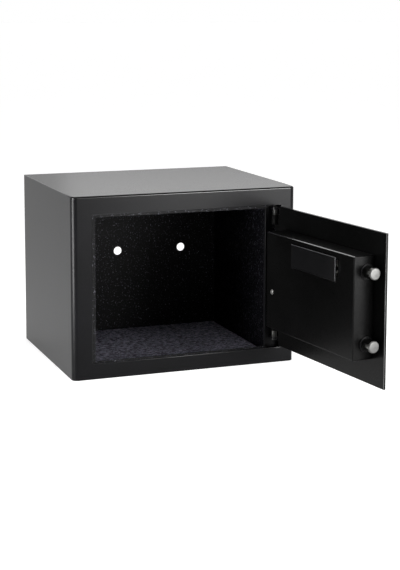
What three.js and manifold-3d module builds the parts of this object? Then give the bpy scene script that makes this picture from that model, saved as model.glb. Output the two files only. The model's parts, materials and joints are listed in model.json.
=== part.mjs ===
// A small steel safe with an electronic lock, standing with its door open.
// Millimetres, +Z up, +X to the right as seen from the front, and the front faces -Y.
// The origin lies on the floor, in the middle of the body's footprint.
import * as THREE from "three";
import { mergeVertices } from "three/addons/utils/BufferGeometryUtils.js";
import { RoundedBoxGeometry } from "three/addons/geometries/RoundedBoxGeometry.js";
import Module from "manifold-3d";

const wasm = await Module();
wasm.setup();

// Driving dimensions of the body
const bodyWidth = 325;
const bodyDepth = 260;
const bodyHeight = 250;
const sheet = 2;
const cornerRadius = 8;
const frameLeft = 28;
const frameRight = 20.5;
const frameTop = 25;
const frameBottom = 21.5;

// Driving dimensions of the door
const doorOpenDegrees = 96.6;
const plateThickness = 3;
const gapLeft = 2;
const gapRight = 3;
const gapTop = 1.5;
const gapBottom = 3;
const pinInset = 4.8;
const pinBehindPlate = 2;
const pinRadius = 3;
const pinBareLength = 7.7;

// Driving dimensions of the lock
const coverWidth = 216;
const coverHeight = 134;
const coverDepth = 30;
const coverSheet = 1.2;
const coverEdgeMargin = 25.5;
const coverRise = 1.5;
const boltRadius = 8;
const boltSpacing = 93;
const boltBehindPlate = 10.5;
const boltShown = 18.5;
const boltTravel = 18;
const cellRadius = 7.1;
const cellLength = 49.5;
const keySize = 13;
const keyPitch = 18;
const keyTravel = 1;
const knobRadius = 17;

// Clearances and overruns that every piece shares
const clearance = 0.3;
const runningClearance = 0.15;
const overrun = 5;
const weldTolerance = 0.0001;

// Facets of round pieces
const roundSides = 28;
const smallSides = 16;
const cornerSteps = 8;

// Planes of the body
const halfWidth = bodyWidth / 2;
const front = -bodyDepth / 2;
const back = bodyDepth / 2;
const flangeBack = front + sheet;
const openingLeft = -halfWidth + frameLeft;
const openingRight = halfWidth - frameRight;
const openingBottom = frameBottom;
const openingTop = bodyHeight - frameTop;

// Planes of the door, in its closed place
const plateLeft = openingLeft + gapLeft;
const plateRight = openingRight - gapRight;
const plateBottom = openingBottom + gapBottom;
const plateTop = openingTop - gapTop;
const plateInner = front + plateThickness;
const axisX = plateRight - pinInset;
const axisY = plateInner + pinBehindPlate;

// Planes of the lock cover, in the closed place
const coverLeft = plateLeft + coverEdgeMargin;
const coverRight = coverLeft + coverWidth;
const coverMiddle = (plateBottom + plateTop) / 2 + coverRise;
const coverBottom = coverMiddle - coverHeight / 2;
const coverTop = coverMiddle + coverHeight / 2;
const coverFoot = plateInner + clearance;
const coverFace = plateInner + coverDepth;
const coverInside = coverFace - coverSheet;
const boltY = plateInner + boltBehindPlate;
const boltPlaces = { upper: coverMiddle + boltSpacing / 2, lower: coverMiddle - boltSpacing / 2 };

// A closed geometry as a solid that can be cut and joined
function solid(geometry) {
  const bare = geometry.clone();
  bare.deleteAttribute("normal");
  bare.deleteAttribute("uv");
  const merged = mergeVertices(bare, weldTolerance);
  return new wasm.Manifold(
    new wasm.Mesh({
      numProp: 3,
      vertProperties: new Float32Array(merged.attributes.position.array),
      triVerts: new Uint32Array(merged.index.array),
    }),
  );
}

function join(first, ...others) {
  return others.reduce((whole, piece) => whole.add(piece), first);
}

function cut(first, ...others) {
  return others.reduce((whole, piece) => whole.subtract(piece), first);
}

// A block between two planes on each axis
function block([x0, x1], [y0, y1], [z0, z1]) {
  const geometry = new THREE.BoxGeometry(x1 - x0, y1 - y0, z1 - z0);
  geometry.translate((x0 + x1) / 2, (y0 + y1) / 2, (z0 + z1) / 2);
  return solid(geometry);
}

// A block with rounded edges, between the same planes
function softBlock([x0, x1], [y0, y1], [z0, z1], radius, steps) {
  const geometry = new RoundedBoxGeometry(x1 - x0, y1 - y0, z1 - z0, steps, radius);
  geometry.translate((x0 + x1) / 2, (y0 + y1) / 2, (z0 + z1) / 2);
  return solid(geometry);
}

// Turns a shape that stands along Y so that it lies along the named axis
function alongAxis(geometry, axis) {
  if (axis === "x") geometry.rotateZ(-Math.PI / 2);
  if (axis === "z") geometry.rotateX(Math.PI / 2);
  return geometry;
}

// A profile of [radius, distance] points turned about a line parallel to an axis
function turned(profile, axis, [x, y, z], sides = roundSides) {
  const points = profile.map(([radius, distance]) => new THREE.Vector2(radius, distance));
  const geometry = alongAxis(new THREE.LatheGeometry(points, sides), axis);
  geometry.translate(x, y, z);
  return solid(geometry);
}

// A plain round rod from one distance to another along an axis
function rod(radius, [from, to], axis, place, sides = roundSides) {
  const profile = [[0, from], [radius, from], [radius, to], [0, to]];
  return turned(profile, axis, place, sides);
}

// An outline in X and Y, raised from one Z to another
function column(shape, [z0, z1]) {
  const geometry = new THREE.ExtrudeGeometry(shape, {
    depth: z1 - z0,
    bevelEnabled: false,
    curveSegments: cornerSteps,
  });
  geometry.translate(0, 0, z0);
  return solid(geometry);
}

// A slot with round ends that runs along X
function slot([x0, x1], z, radius, [y0, y1]) {
  return join(
    block([x0, x1], [y0, y1], [z - radius, z + radius]),
    rod(radius, [y0, y1], "y", [x0, 0, z], smallSides),
    rod(radius, [y0, y1], "y", [x1, 0, z], smallSides),
  );
}

const finishes = {
  bodyPaint: { color: "#3b3b3c", roughness: 0.45, metalness: 0.2 },
  doorPaint: { color: "#1d1c1c", roughness: 0.42, metalness: 0.2 },
  zinc: { color: "#9a9a98", roughness: 0.4, metalness: 0.9 },
  chrome: { color: "#d8d8d8", roughness: 0.15, metalness: 1 },
  felt: { color: "#2f2e38", roughness: 0.95, metalness: 0 },
  blackPlastic: { color: "#161617", roughness: 0.5, metalness: 0 },
  palePlastic: { color: "#cfcfcd", roughness: 0.4, metalness: 0 },
  keyPlastic: { color: "#2a2a2c", roughness: 0.6, metalness: 0 },
  brass: { color: "#b08d4f", roughness: 0.35, metalness: 0.9 },
  board: { color: "#1d5a38", roughness: 0.5, metalness: 0 },
  copper: { color: "#9b5a35", roughness: 0.4, metalness: 0.8 },
  cell: { color: "#2c4a86", roughness: 0.35, metalness: 0.3 },
};
const materials = Object.fromEntries(
  Object.entries(finishes).map(([name, values]) => [name, new THREE.MeshStandardMaterial(values)]),
);

// Puts a solid into a group as a named mesh
function place(group, name, shape, finish) {
  const made = shape.getMesh();
  const geometry = new THREE.BufferGeometry();
  const corners = new THREE.BufferAttribute(new Float32Array(made.vertProperties), made.numProp);
  geometry.setAttribute("position", corners);
  geometry.setIndex(new THREE.BufferAttribute(new Uint32Array(made.triVerts), 1));
  geometry.computeVertexNormals();
  const mesh = new THREE.Mesh(geometry, materials[finish]);
  mesh.name = name;
  group.add(mesh);
  return mesh;
}

const safe = new THREE.Group();

// The door turns about its hinge pins; inside that group the pieces keep their closed places
const doorPivot = new THREE.Group();
doorPivot.position.set(axisX, axisY, 0);
doorPivot.rotation.z = THREE.MathUtils.degToRad(doorOpenDegrees);
safe.add(doorPivot);
const door = new THREE.Group();
door.position.set(-axisX, -axisY, 0);
doorPivot.add(door);

// Plan of the body: the two front corners are bent, the back ones are square
function bodyPlan(inset) {
  const side = halfWidth - inset;
  const face = front + inset;
  const radius = cornerRadius - inset;
  const rear = inset ? back + overrun : back;
  const plan = new THREE.Shape();
  plan.moveTo(side, rear);
  plan.lineTo(-side, rear);
  plan.lineTo(-side, face + radius);
  plan.absarc(-side + radius, face + radius, radius, Math.PI, 1.5 * Math.PI);
  plan.lineTo(side - radius, face);
  plan.absarc(side - radius, face + radius, radius, 1.5 * Math.PI, 2 * Math.PI);
  plan.closePath();
  return plan;
}

function makeBodyShell() {
  const outside = column(bodyPlan(0), [0, bodyHeight]);
  const inside = column(bodyPlan(sheet), [sheet, bodyHeight - sheet]);
  const mouth = block(
    [openingLeft, openingRight],
    [front - overrun, flangeBack + overrun],
    [openingBottom, openingTop],
  );
  place(safe, "body_shell", cut(outside, inside, mouth), "bodyPaint");
}

function makeBackPanel() {
  const anchorRadius = 6.35;
  const anchorSpacing = 103;
  const anchorOffset = 34.2;
  const anchorRise = 1;
  const panel = block(
    [-halfWidth + sheet, halfWidth - sheet],
    [back - sheet, back],
    [sheet, bodyHeight - sheet],
  );
  const holes = [-1, 1].map((side) =>
    rod(anchorRadius, [back - sheet - overrun, back + overrun], "y", [
      anchorOffset + (side * anchorSpacing) / 2,
      0,
      bodyHeight / 2 + anchorRise,
    ]),
  );
  place(safe, "back_panel", cut(panel, ...holes), "bodyPaint");
}

// Recessed lip that the closed door meets on three sides, the strip on the hinge side and its liner
const stopSheet = 1.5;
const stopLand = 11.5;
const stopOverlap = 1.5;
const stopGap = 0.5;
const lipLeft = 5.5;
const lipTop = 4.5;
const lipBottom = 2.5;
const hingeStripReach = 21;
const stripRunningGap = 0.6;
const lipFront = plateInner + stopGap;
const stripLeft = openingRight - hingeStripReach;
const plateSweep = Math.hypot(pinInset, pinBehindPlate + plateThickness);
const stripFront = axisY + plateSweep + stripRunningGap;
const stripBack = stripFront + stopSheet;

function makeStopFrame() {
  const landBack = flangeBack + stopSheet;
  const lipBack = lipFront + stopSheet;
  const end = stripLeft - clearance;
  const land = cut(
    block(
      [openingLeft - stopLand, end],
      [flangeBack, landBack],
      [openingBottom - stopLand, openingTop + stopLand],
    ),
    block(
      [openingLeft + stopOverlap / 2, end + overrun],
      [flangeBack - overrun, landBack + overrun],
      [openingBottom + stopOverlap / 2, openingTop - stopOverlap / 2],
    ),
  );
  const lip = cut(
    block(
      [openingLeft - stopOverlap, end],
      [lipFront, lipBack],
      [openingBottom - stopOverlap, openingTop + stopOverlap],
    ),
    block(
      [openingLeft + lipLeft, end + overrun],
      [flangeBack - overrun, lipBack + overrun],
      [openingBottom + lipBottom, openingTop - lipTop],
    ),
  );
  const mouth = block(
    [openingLeft, openingRight],
    [front - overrun, lipFront],
    [openingBottom, openingTop],
  );
  place(safe, "stop_frame", cut(join(land, lip), mouth), "bodyPaint");
}

function makeHingeStrip() {
  const webGap = 2;
  const hem = 4;
  const endMargin = 11.5;
  const webX = openingRight + webGap;
  const footX = halfWidth - cornerRadius;
  const section = new THREE.Shape([
    new THREE.Vector2(stripLeft, stripFront - hem),
    new THREE.Vector2(stripLeft + stopSheet, stripFront - hem),
    new THREE.Vector2(stripLeft + stopSheet, stripFront),
    new THREE.Vector2(webX, stripFront),
    new THREE.Vector2(webX, flangeBack),
    new THREE.Vector2(footX, flangeBack),
    new THREE.Vector2(footX, flangeBack + stopSheet),
    new THREE.Vector2(webX + stopSheet, flangeBack + stopSheet),
    new THREE.Vector2(webX + stopSheet, stripBack),
    new THREE.Vector2(stripLeft, stripBack),
  ]);
  const span = [openingBottom - endMargin, openingTop + endMargin];
  place(safe, "hinge_strip", column(section, span), "bodyPaint");
}

// Inner wall in line with the opening, with a flange behind the strip and one on the back panel
function makeSideLiner() {
  const linerSheet = 1.2;
  const linerFlange = 13;
  const linerFront = stripBack + clearance;
  const linerBack = back - sheet - clearance;
  const inner = openingRight;
  const outer = openingRight + linerSheet;
  const section = new THREE.Shape([
    new THREE.Vector2(inner - linerFlange, linerFront),
    new THREE.Vector2(outer, linerFront),
    new THREE.Vector2(outer, linerBack - linerSheet),
    new THREE.Vector2(outer + linerFlange, linerBack - linerSheet),
    new THREE.Vector2(outer + linerFlange, linerBack),
    new THREE.Vector2(inner, linerBack),
    new THREE.Vector2(inner, linerFront + linerSheet),
    new THREE.Vector2(inner - linerFlange, linerFront + linerSheet),
  ]);
  const span = [sheet + clearance, bodyHeight - sheet - clearance];
  place(safe, "side_liner", column(section, span), "bodyPaint");
}

// Heights of the hinge: lugs on the body, knuckles on the door
const lugThickness = 3;
const lugMargin = 3.5;
const lugWall = 1.7;
const knuckleLength = 13.8;
const knuckleWall = 1.75;
const lowerLugRise = 11.5;
const spacerLength = 8.7;
const pinHeadThickness = 1.2;
const pinHeadExtra = 1;
const boreRadius = pinRadius + runningClearance;
const knuckleRadius = boreRadius + knuckleWall;
const upperLug = [openingTop - lugMargin - lugThickness, openingTop - lugMargin];
const lowerLug = [openingBottom + lowerLugRise, openingBottom + lowerLugRise + lugThickness];
const upperKnuckle = [upperLug[0] - pinBareLength - knuckleLength, upperLug[0] - pinBareLength];
const lowerKnuckle = [
  lowerLug[1] + spacerLength + clearance,
  lowerLug[1] + spacerLength + clearance + knuckleLength,
];

function makeHingeFixings() {
  const lugRadius = boreRadius + lugWall;
  for (const [name, span] of [["upper", upperLug], ["lower", lowerLug]]) {
    const tongue = block([axisX - lugRadius, axisX + lugRadius], [axisY, stripFront], span);
    const nose = rod(lugRadius, span, "z", [axisX, axisY, 0]);
    const bore = rod(boreRadius, [span[0] - overrun, span[1] + overrun], "z", [axisX, axisY, 0]);
    place(safe, "hinge_lug_" + name, cut(join(tongue, nose), bore), "bodyPaint");
  }
  const headRadius = pinRadius + pinHeadExtra;
  const upperPin = join(
    rod(pinRadius, [upperKnuckle[0] + clearance, upperLug[1] + pinHeadThickness], "z", [axisX, axisY, 0]),
    rod(headRadius, [upperLug[1], upperLug[1] + pinHeadThickness], "z", [axisX, axisY, 0]),
  );
  const lowerPin = join(
    rod(pinRadius, [lowerLug[0] - pinHeadThickness, lowerKnuckle[1] - clearance], "z", [axisX, axisY, 0]),
    rod(headRadius, [lowerLug[0] - pinHeadThickness, lowerLug[0]], "z", [axisX, axisY, 0]),
  );
  place(safe, "hinge_pin_upper", upperPin, "zinc");
  place(safe, "hinge_pin_lower", lowerPin, "zinc");
  const spacerRadius = boreRadius + pinHeadExtra;
  const spacerProfile = [
    [boreRadius, lowerLug[1]],
    [spacerRadius, lowerLug[1]],
    [spacerRadius, lowerLug[1] + spacerLength],
    [boreRadius, lowerLug[1] + spacerLength],
    [boreRadius, lowerLug[1]],
  ];
  place(safe, "hinge_spacer", turned(spacerProfile, "z", [axisX, axisY, 0]), "zinc");
}

function makeFloorMat() {
  const matThickness = 2.5;
  const matMargin = 1.5;
  const matFront = stripBack + matMargin;
  const mat = block(
    [-halfWidth + sheet + matMargin, openingRight - matMargin],
    [matFront, back - sheet - matMargin],
    [sheet, sheet + matThickness],
  );
  place(safe, "floor_mat", mat, "felt");
}

makeBodyShell();
makeBackPanel();
makeStopFrame();
makeHingeStrip();
makeSideLiner();
makeHingeFixings();
makeFloorMat();

// Battery bay, set from the cover's free edge and top
const bayLeftMargin = 42;
const bayTopMargin = 7.5;
const bayCoverWidth = 107.5;
const bayCoverHeight = 31.3;
const bayCoverThickness = 2.8;
const bayCoverProud = 1;
const bayWall = 1.3;
const windowGap = 0.8;
const scoopRadius = 11.5;
const scoopDepth = 3.2;
const scoopDrop = 12.5;
const cellPitchGap = 1.6;
const bayFloorGap = 0.2;
const bayLeft = coverLeft + bayLeftMargin;
const bayRight = bayLeft + bayCoverWidth;
const bayTop = coverTop - bayTopMargin;
const bayBottom = bayTop - bayCoverHeight;
const windowX = [bayLeft - windowGap, bayRight + windowGap];
const windowZ = [bayBottom - windowGap, bayTop + windowGap];
const trayRim = coverInside - clearance;
const cellY = coverFace + bayCoverProud - bayCoverThickness - clearance - bayFloorGap - cellRadius;
const trayInnerFloor = cellY - cellRadius - bayFloorGap;
const trayFloor = trayInnerFloor - bayWall;
const trayBottom = windowZ[0] - bayWall;

// Lock mechanism, set down from the battery bay
const cylinderRadius = 8.5;
const cylinderGap = 3;
const knobFromEdge = 139;
const solenoidWidth = 22;
const solenoidHeight = 18;
const solenoidDepth = 12;
const solenoidFromKnob = 28;
const solenoidGap = 1.5;
const plungerRadius = 3;
const plungerShown = 10;
const armHeight = 22;
const crankPinRise = 4;
const crankPinRadius = 2.5;
const slotPlay = 0.6;
const knobX = coverLeft + knobFromEdge;
const cylinderZ = trayBottom - cylinderGap - cylinderRadius;
const solenoidX = knobX - solenoidFromKnob;
const solenoidTop = trayBottom - solenoidGap;
const solenoidBottom = solenoidTop - solenoidHeight;
const armTop = solenoidBottom - plungerShown;
const armBottom = armTop - armHeight;
const knobZ = armBottom + crankPinRise - boltTravel / 2;

// Carrier plate of the bolts
const carrierSheet = 2;
const carrierOff = 4;
const carrierFromEdge = 35;
const carrierBarWidth = 49;
const carrierOverhang = 11;
const carrierFlangeDepth = 14;
const armEndMargin = 6;
const carrierLeft = coverLeft + carrierFromEdge;
const carrierY = [plateInner + carrierOff, plateInner + carrierOff + carrierSheet];
const armRight = knobX + boltTravel / 2 + armEndMargin;
const guideRadius = 2.5;
const guideHeadRadius = 5;
const guideHeadThickness = 2;
const upperGuideAlong = 55;
const upperGuideDrop = 6;
const lowerGuideAlong = 20;
const lowerGuideDrop = 10;
const guidePlaces = {
  upper: { x: carrierLeft + upperGuideAlong, z: armTop - upperGuideDrop },
  lower: { x: carrierLeft + lowerGuideAlong, z: armBottom - lowerGuideDrop },
};

// Panel on the outside of the door
const panelWidth = 124;
const panelHeight = 112;
const panelDepth = 12;
const panelWall = 2;
const panelRadius = 3;
const panelRightMargin = 32;
const panelTopMargin = 34;
const keyColumnMargin = 16;
const keyRowMargin = 29;
const panelRight = knobX + panelRightMargin;
const panelLeft = panelRight - panelWidth;
const panelTop = cylinderZ + panelTopMargin;
const panelBottom = panelTop - panelHeight;
const panelBack = front - clearance;
const panelFace = panelBack - panelDepth;
const keyRows = 4;
const keyColumns = 3;
const keyGrid = [];
for (let row = 0; row < keyRows; row += 1) {
  for (let col = 0; col < keyColumns; col += 1) {
    keyGrid.push({
      x: panelLeft + keyColumnMargin + col * keyPitch,
      z: panelTop - keyRowMargin - row * keyPitch,
    });
  }
}
const keyLabels = ["1", "2", "3", "4", "5", "6", "7", "8", "9", "a", "0", "b"];

// Flat cable from the keypad to the control board
const ribbonWidth = 8;
const ribbonThickness = 1;
const ribbonHoleGap = 1.5;
const ribbonDrop = 14;
const ribbonX = panelLeft + keyColumnMargin + (keyColumns - 1) * keyPitch + keyPitch / 2;
const ribbonZ = knobZ - ribbonDrop;

function makeDoorPlate() {
  const lugClear = 8.2;
  const spindleHole = 5.5;
  const zAll = [plateBottom, plateTop];
  const plate = block([plateLeft, plateRight], [front, plateInner], zAll);
  const through = [front - overrun, plateInner + overrun];
  const cuts = [];
  for (const span of [upperKnuckle, lowerKnuckle]) {
    const zone = [span[0] - clearance, span[1] + clearance];
    cuts.push(rod(knuckleRadius + clearance, zone, "z", [axisX, axisY, 0]));
    cuts.push(block([axisX, plateRight + overrun], through, zone));
  }
  const corner = [axisX - lugClear, plateRight + overrun];
  cuts.push(block(corner, through, [upperKnuckle[1] + clearance, plateTop + overrun]));
  cuts.push(block(corner, through, [plateBottom - overrun, lowerKnuckle[0] - clearance]));
  cuts.push(rod(spindleHole, through, "y", [knobX, 0, knobZ]));
  cuts.push(rod(cylinderRadius + clearance, through, "y", [knobX, 0, cylinderZ]));
  cuts.push(
    block(
      [ribbonX - ribbonHoleGap, ribbonX + ribbonThickness + ribbonHoleGap],
      through,
      [ribbonZ - ribbonWidth / 2 - ribbonHoleGap, ribbonZ + ribbonWidth / 2 + ribbonHoleGap],
    ),
  );
  place(door, "door_plate", cut(plate, ...cuts), "doorPaint");
}

function makeKnuckles() {
  for (const [name, span] of [["upper", upperKnuckle], ["lower", lowerKnuckle]]) {
    const barrel = rod(knuckleRadius, span, "z", [axisX, axisY, 0]);
    const bore = rod(boreRadius, [span[0] - overrun, span[1] + overrun], "z", [axisX, axisY, 0]);
    place(door, "door_knuckle_" + name, cut(barrel, bore), "doorPaint");
  }
}

// Screws through the cover's lower wall into tabs on the plate
const coverTabs = { outer: coverLeft + 22, inner: coverLeft + 127 };
const tabWidth = 16;
const tabSheet = 2;
const tabDepth = 16;
const tabFoot = 10;
const screwRadius = 1.9;
const screwHeadRadius = 3.6;
const screwHeadThickness = 2.1;
const screwPastTab = 3;
const screwFromPlate = 9;
const resetFromEdge = 15.4;
const resetDrop = 15.1;
const resetRadius = 3.4;
const resetX = coverRight - resetFromEdge;
const resetZ = coverMiddle - resetDrop;
const bushRadius = 9.2;
const bushFlangeRadius = 10;

function makeLockCover() {
  const bend = 1.7;
  const bendSteps = 2;
  const body = softBlock(
    [coverLeft, coverRight],
    [coverFoot - overrun, coverFace],
    [coverBottom, coverTop],
    bend,
    bendSteps,
  );
  const hollow = softBlock(
    [coverLeft + coverSheet, coverRight - coverSheet],
    [coverFoot - 2 * overrun, coverInside],
    [coverBottom + coverSheet, coverTop - coverSheet],
    bend - coverSheet,
    bendSteps,
  );
  const footCut = block(
    [coverLeft - overrun, coverRight + overrun],
    [coverFoot - 2 * overrun, coverFoot],
    [coverBottom - overrun, coverTop + overrun],
  );
  const faceThrough = [coverInside - overrun, coverFace + overrun];
  const cuts = [
    block(windowX, faceThrough, windowZ),
    rod(scoopRadius, faceThrough, "y", [bayLeft, 0, bayTop - scoopDrop]),
    rod(resetRadius + clearance, faceThrough, "y", [resetX, 0, resetZ], smallSides),
  ];
  for (const z of Object.values(boltPlaces)) {
    cuts.push(rod(bushRadius + clearance, [coverLeft - overrun, coverLeft + overrun], "x", [0, boltY, z]));
  }
  for (const x of Object.values(coverTabs)) {
    const span = [coverBottom - overrun, coverBottom + overrun];
    cuts.push(rod(screwRadius + clearance, span, "z", [x, plateInner + screwFromPlate, 0], smallSides));
  }
  place(door, "lock_cover", cut(body, hollow, footCut, ...cuts), "doorPaint");
}

function makeCoverFixings() {
  const tabTop = coverBottom + coverSheet + clearance + tabSheet;
  for (const [name, x] of Object.entries(coverTabs)) {
    const wide = [x - tabWidth / 2, x + tabWidth / 2];
    const shelf = block(wide, [coverFoot, coverFoot + tabDepth], [tabTop - tabSheet, tabTop]);
    const foot = block(wide, [coverFoot, coverFoot + tabSheet], [tabTop - tabSheet, tabTop + tabFoot]);
    const hole = rod(
      screwRadius + clearance,
      [tabTop - tabSheet - overrun, tabTop + overrun],
      "z",
      [x, plateInner + screwFromPlate, 0],
      smallSides,
    );
    place(door, "cover_tab_" + name, cut(join(shelf, foot), hole), "doorPaint");
    const headTop = coverBottom - clearance;
    const crossWidth = 0.9;
    const crossLength = 4;
    const crossDepth = 1.2;
    const head = rod(
      screwHeadRadius,
      [headTop - screwHeadThickness, headTop],
      "z",
      [x, plateInner + screwFromPlate, 0],
      smallSides,
    );
    const shank = rod(
      screwRadius,
      [headTop - screwHeadThickness / 2, tabTop + screwPastTab],
      "z",
      [x, plateInner + screwFromPlate, 0],
      smallSides,
    );
    const under = [headTop - screwHeadThickness - overrun, headTop - screwHeadThickness + crossDepth];
    const y = plateInner + screwFromPlate;
    const slots = [
      block([x - crossWidth / 2, x + crossWidth / 2], [y - crossLength / 2, y + crossLength / 2], under),
      block([x - crossLength / 2, x + crossLength / 2], [y - crossWidth / 2, y + crossWidth / 2], under),
    ];
    place(door, "cover_screw_" + name, cut(join(head, shank), ...slots), "zinc");
  }
}

function makeBoltBushes() {
  const bushInside = 3;
  const flangeThickness = 1.5;
  const bore = boltRadius + runningClearance;
  const outerFace = coverLeft - clearance;
  for (const [name, z] of Object.entries(boltPlaces)) {
    const profile = [
      [bore, outerFace - flangeThickness],
      [bushFlangeRadius, outerFace - flangeThickness],
      [bushFlangeRadius, outerFace],
      [bushRadius, outerFace],
      [bushRadius, coverLeft + coverSheet + bushInside],
      [bore, coverLeft + coverSheet + bushInside],
      [bore, outerFace - flangeThickness],
    ];
    place(door, "bolt_bush_" + name, turned(profile, "x", [0, boltY, z]), "blackPlastic");
  }
}

function makeBoltCarrier() {
  const barZ = [boltPlaces.lower - carrierOverhang, boltPlaces.upper + carrierOverhang];
  const notchDepth = 4.5;
  const notchPlay = 0.5;
  const tailRadius = boltRadius / 2 + runningClearance;
  const bar = block([carrierLeft, carrierLeft + carrierBarWidth], carrierY, barZ);
  const arm = block([carrierLeft + carrierBarWidth / 2, armRight], carrierY, [armBottom, armTop]);
  const flange = block(
    [carrierLeft, carrierLeft + carrierSheet],
    [carrierY[0], carrierY[0] + carrierFlangeDepth],
    barZ,
  );
  const through = [carrierY[0] - overrun, carrierY[1] + overrun];
  const crankX = knobX + boltTravel / 2;
  const crankPeak = knobZ + (boltTravel / 2) * Math.SQRT2;
  const fork = crankPinRadius + slotPlay;
  const notchX = solenoidX + boltTravel;
  const notchReach = plungerRadius + notchPlay;
  const cuts = [
    block([crankX - fork, crankX + fork], through, [armBottom - overrun, crankPeak + fork]),
    block([notchX - notchReach, notchX + notchReach], through, [armTop - notchDepth, armTop + overrun]),
  ];
  for (const { x, z } of Object.values(guidePlaces)) {
    cuts.push(slot([x - slotPlay, x + boltTravel + slotPlay], z, guideRadius + clearance, through));
  }
  for (const z of Object.values(boltPlaces)) {
    const across = [carrierLeft - overrun, carrierLeft + carrierSheet + overrun];
    cuts.push(rod(tailRadius, across, "x", [0, boltY, z]));
  }
  place(door, "bolt_carrier", cut(join(bar, arm, flange), ...cuts), "zinc");
}

function makeBolts() {
  const chamfer = 1;
  const tailPast = 1;
  const tip = coverLeft - boltShown;
  const shoulder = carrierLeft - clearance;
  for (const [name, z] of Object.entries(boltPlaces)) {
    const profile = [
      [0, tip],
      [boltRadius - chamfer, tip],
      [boltRadius, tip + chamfer],
      [boltRadius, shoulder],
      [boltRadius / 2, shoulder],
      [boltRadius / 2, carrierLeft + carrierSheet + tailPast],
      [0, carrierLeft + carrierSheet + tailPast],
    ];
    place(door, "bolt_" + name, turned(profile, "x", [0, boltY, z]), "chrome");
  }
}

function makeGuidePins() {
  for (const [name, { x, z }] of Object.entries(guidePlaces)) {
    const profile = [
      [0, coverFoot],
      [guideHeadRadius, coverFoot],
      [guideHeadRadius, carrierY[0] - clearance],
      [guideRadius, carrierY[0] - clearance],
      [guideRadius, carrierY[1] + clearance],
      [guideHeadRadius, carrierY[1] + clearance],
      [guideHeadRadius, carrierY[1] + clearance + guideHeadThickness],
      [0, carrierY[1] + clearance + guideHeadThickness],
    ];
    place(door, "guide_pin_" + name, turned(profile, "y", [x, 0, z], smallSides), "zinc");
  }
}

function makeKnob() {
  const spindleRadius = 4;
  const crankThickness = 2.5;
  const crankHalfWidth = 4.5;
  const crankGap = 0.6;
  const knobStandoff = 1;
  const skirtThickness = 5;
  const knobHeight = 19;
  const knobChamfer = 2;
  const gripThickness = 9;
  const spindleInKnob = 10;
  const crankDegrees = 45;
  const crankFront = carrierY[1] + crankGap;
  const reach = (boltTravel / 2) * Math.SQRT2;
  const knobBack = panelFace - knobStandoff;
  const knobFace = knobBack - knobHeight;
  const shaftEnds = [knobBack - spindleInKnob, crankFront + crankThickness];
  const shaft = rod(spindleRadius, shaftEnds, "y", [knobX, 0, knobZ]);
  const crankY = [crankFront, crankFront + crankThickness];
  const lever = block([-crankHalfWidth, crankHalfWidth], crankY, [0, reach]);
  const leverEnd = rod(crankHalfWidth, crankY, "y", [0, 0, reach], smallSides);
  const hub = rod(crankHalfWidth + crankGap, crankY, "y", [0, 0, 0]);
  const pin = rod(
    crankPinRadius,
    [carrierY[0] - crankGap, crankFront + crankThickness / 2],
    "y",
    [0, 0, reach],
    smallSides,
  );
  const crank = join(lever, leverEnd, hub, pin).rotate([0, crankDegrees, 0]).translate([knobX, 0, knobZ]);
  place(door, "spindle_crank", join(shaft, crank), "zinc");

  const skirt = turned(
    [
      [0, knobBack - skirtThickness],
      [knobRadius - knobChamfer, knobBack - skirtThickness],
      [knobRadius, knobBack - skirtThickness + knobChamfer],
      [knobRadius, knobBack],
      [0, knobBack],
    ],
    "y",
    [knobX, 0, knobZ],
  );
  const grip = softBlock(
    [knobX - gripThickness / 2, knobX + gripThickness / 2],
    [knobFace, knobBack - skirtThickness / 2],
    [knobZ - knobRadius + knobChamfer, knobZ + knobRadius - knobChamfer],
    knobChamfer,
    2,
  );
  const socket = rod(
    spindleRadius + runningClearance,
    [knobBack - spindleInKnob - clearance, knobBack + overrun],
    "y",
    [knobX, 0, knobZ],
  );
  place(door, "knob", cut(join(skirt, grip), socket), "blackPlastic");
}

function makeSolenoid() {
  const collarRadius = 4.6;
  const collarThickness = 1.5;
  const collarRise = 1.2;
  const plungerTravel = 4;
  const coreWall = 1.5;
  const coreGap = 0.6;
  const plungerY = coverFoot + solenoidDepth / 2;
  const tip = armTop + clearance;
  const boreTop = solenoidTop - coreWall;
  const bore = rod(
    plungerRadius + runningClearance,
    [solenoidBottom - overrun, boreTop],
    "z",
    [solenoidX, plungerY, 0],
  );
  const housing = block(
    [solenoidX - solenoidWidth / 2, solenoidX + solenoidWidth / 2],
    [coverFoot, coverFoot + solenoidDepth],
    [solenoidBottom, solenoidTop],
  );
  place(door, "solenoid_body", cut(housing, bore), "zinc");
  const plunger = join(
    rod(plungerRadius, [tip, boreTop - plungerTravel - coreGap], "z", [solenoidX, plungerY, 0]),
    rod(collarRadius, [tip + collarRise, tip + collarRise + collarThickness], "z", [solenoidX, plungerY, 0]),
  );
  place(door, "solenoid_plunger", plunger, "chrome");
  const springInner = plungerRadius + clearance;
  const springOuter = collarRadius - clearance;
  const springBottom = tip + collarRise + collarThickness + clearance;
  const springTop = solenoidBottom - clearance;
  const spring = turned(
    [
      [springInner, springBottom],
      [springOuter, springBottom],
      [springOuter, springTop],
      [springInner, springTop],
      [springInner, springBottom],
    ],
    "z",
    [solenoidX, plungerY, 0],
    smallSides,
  );
  place(door, "solenoid_spring", spring, "zinc");
}

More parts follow.
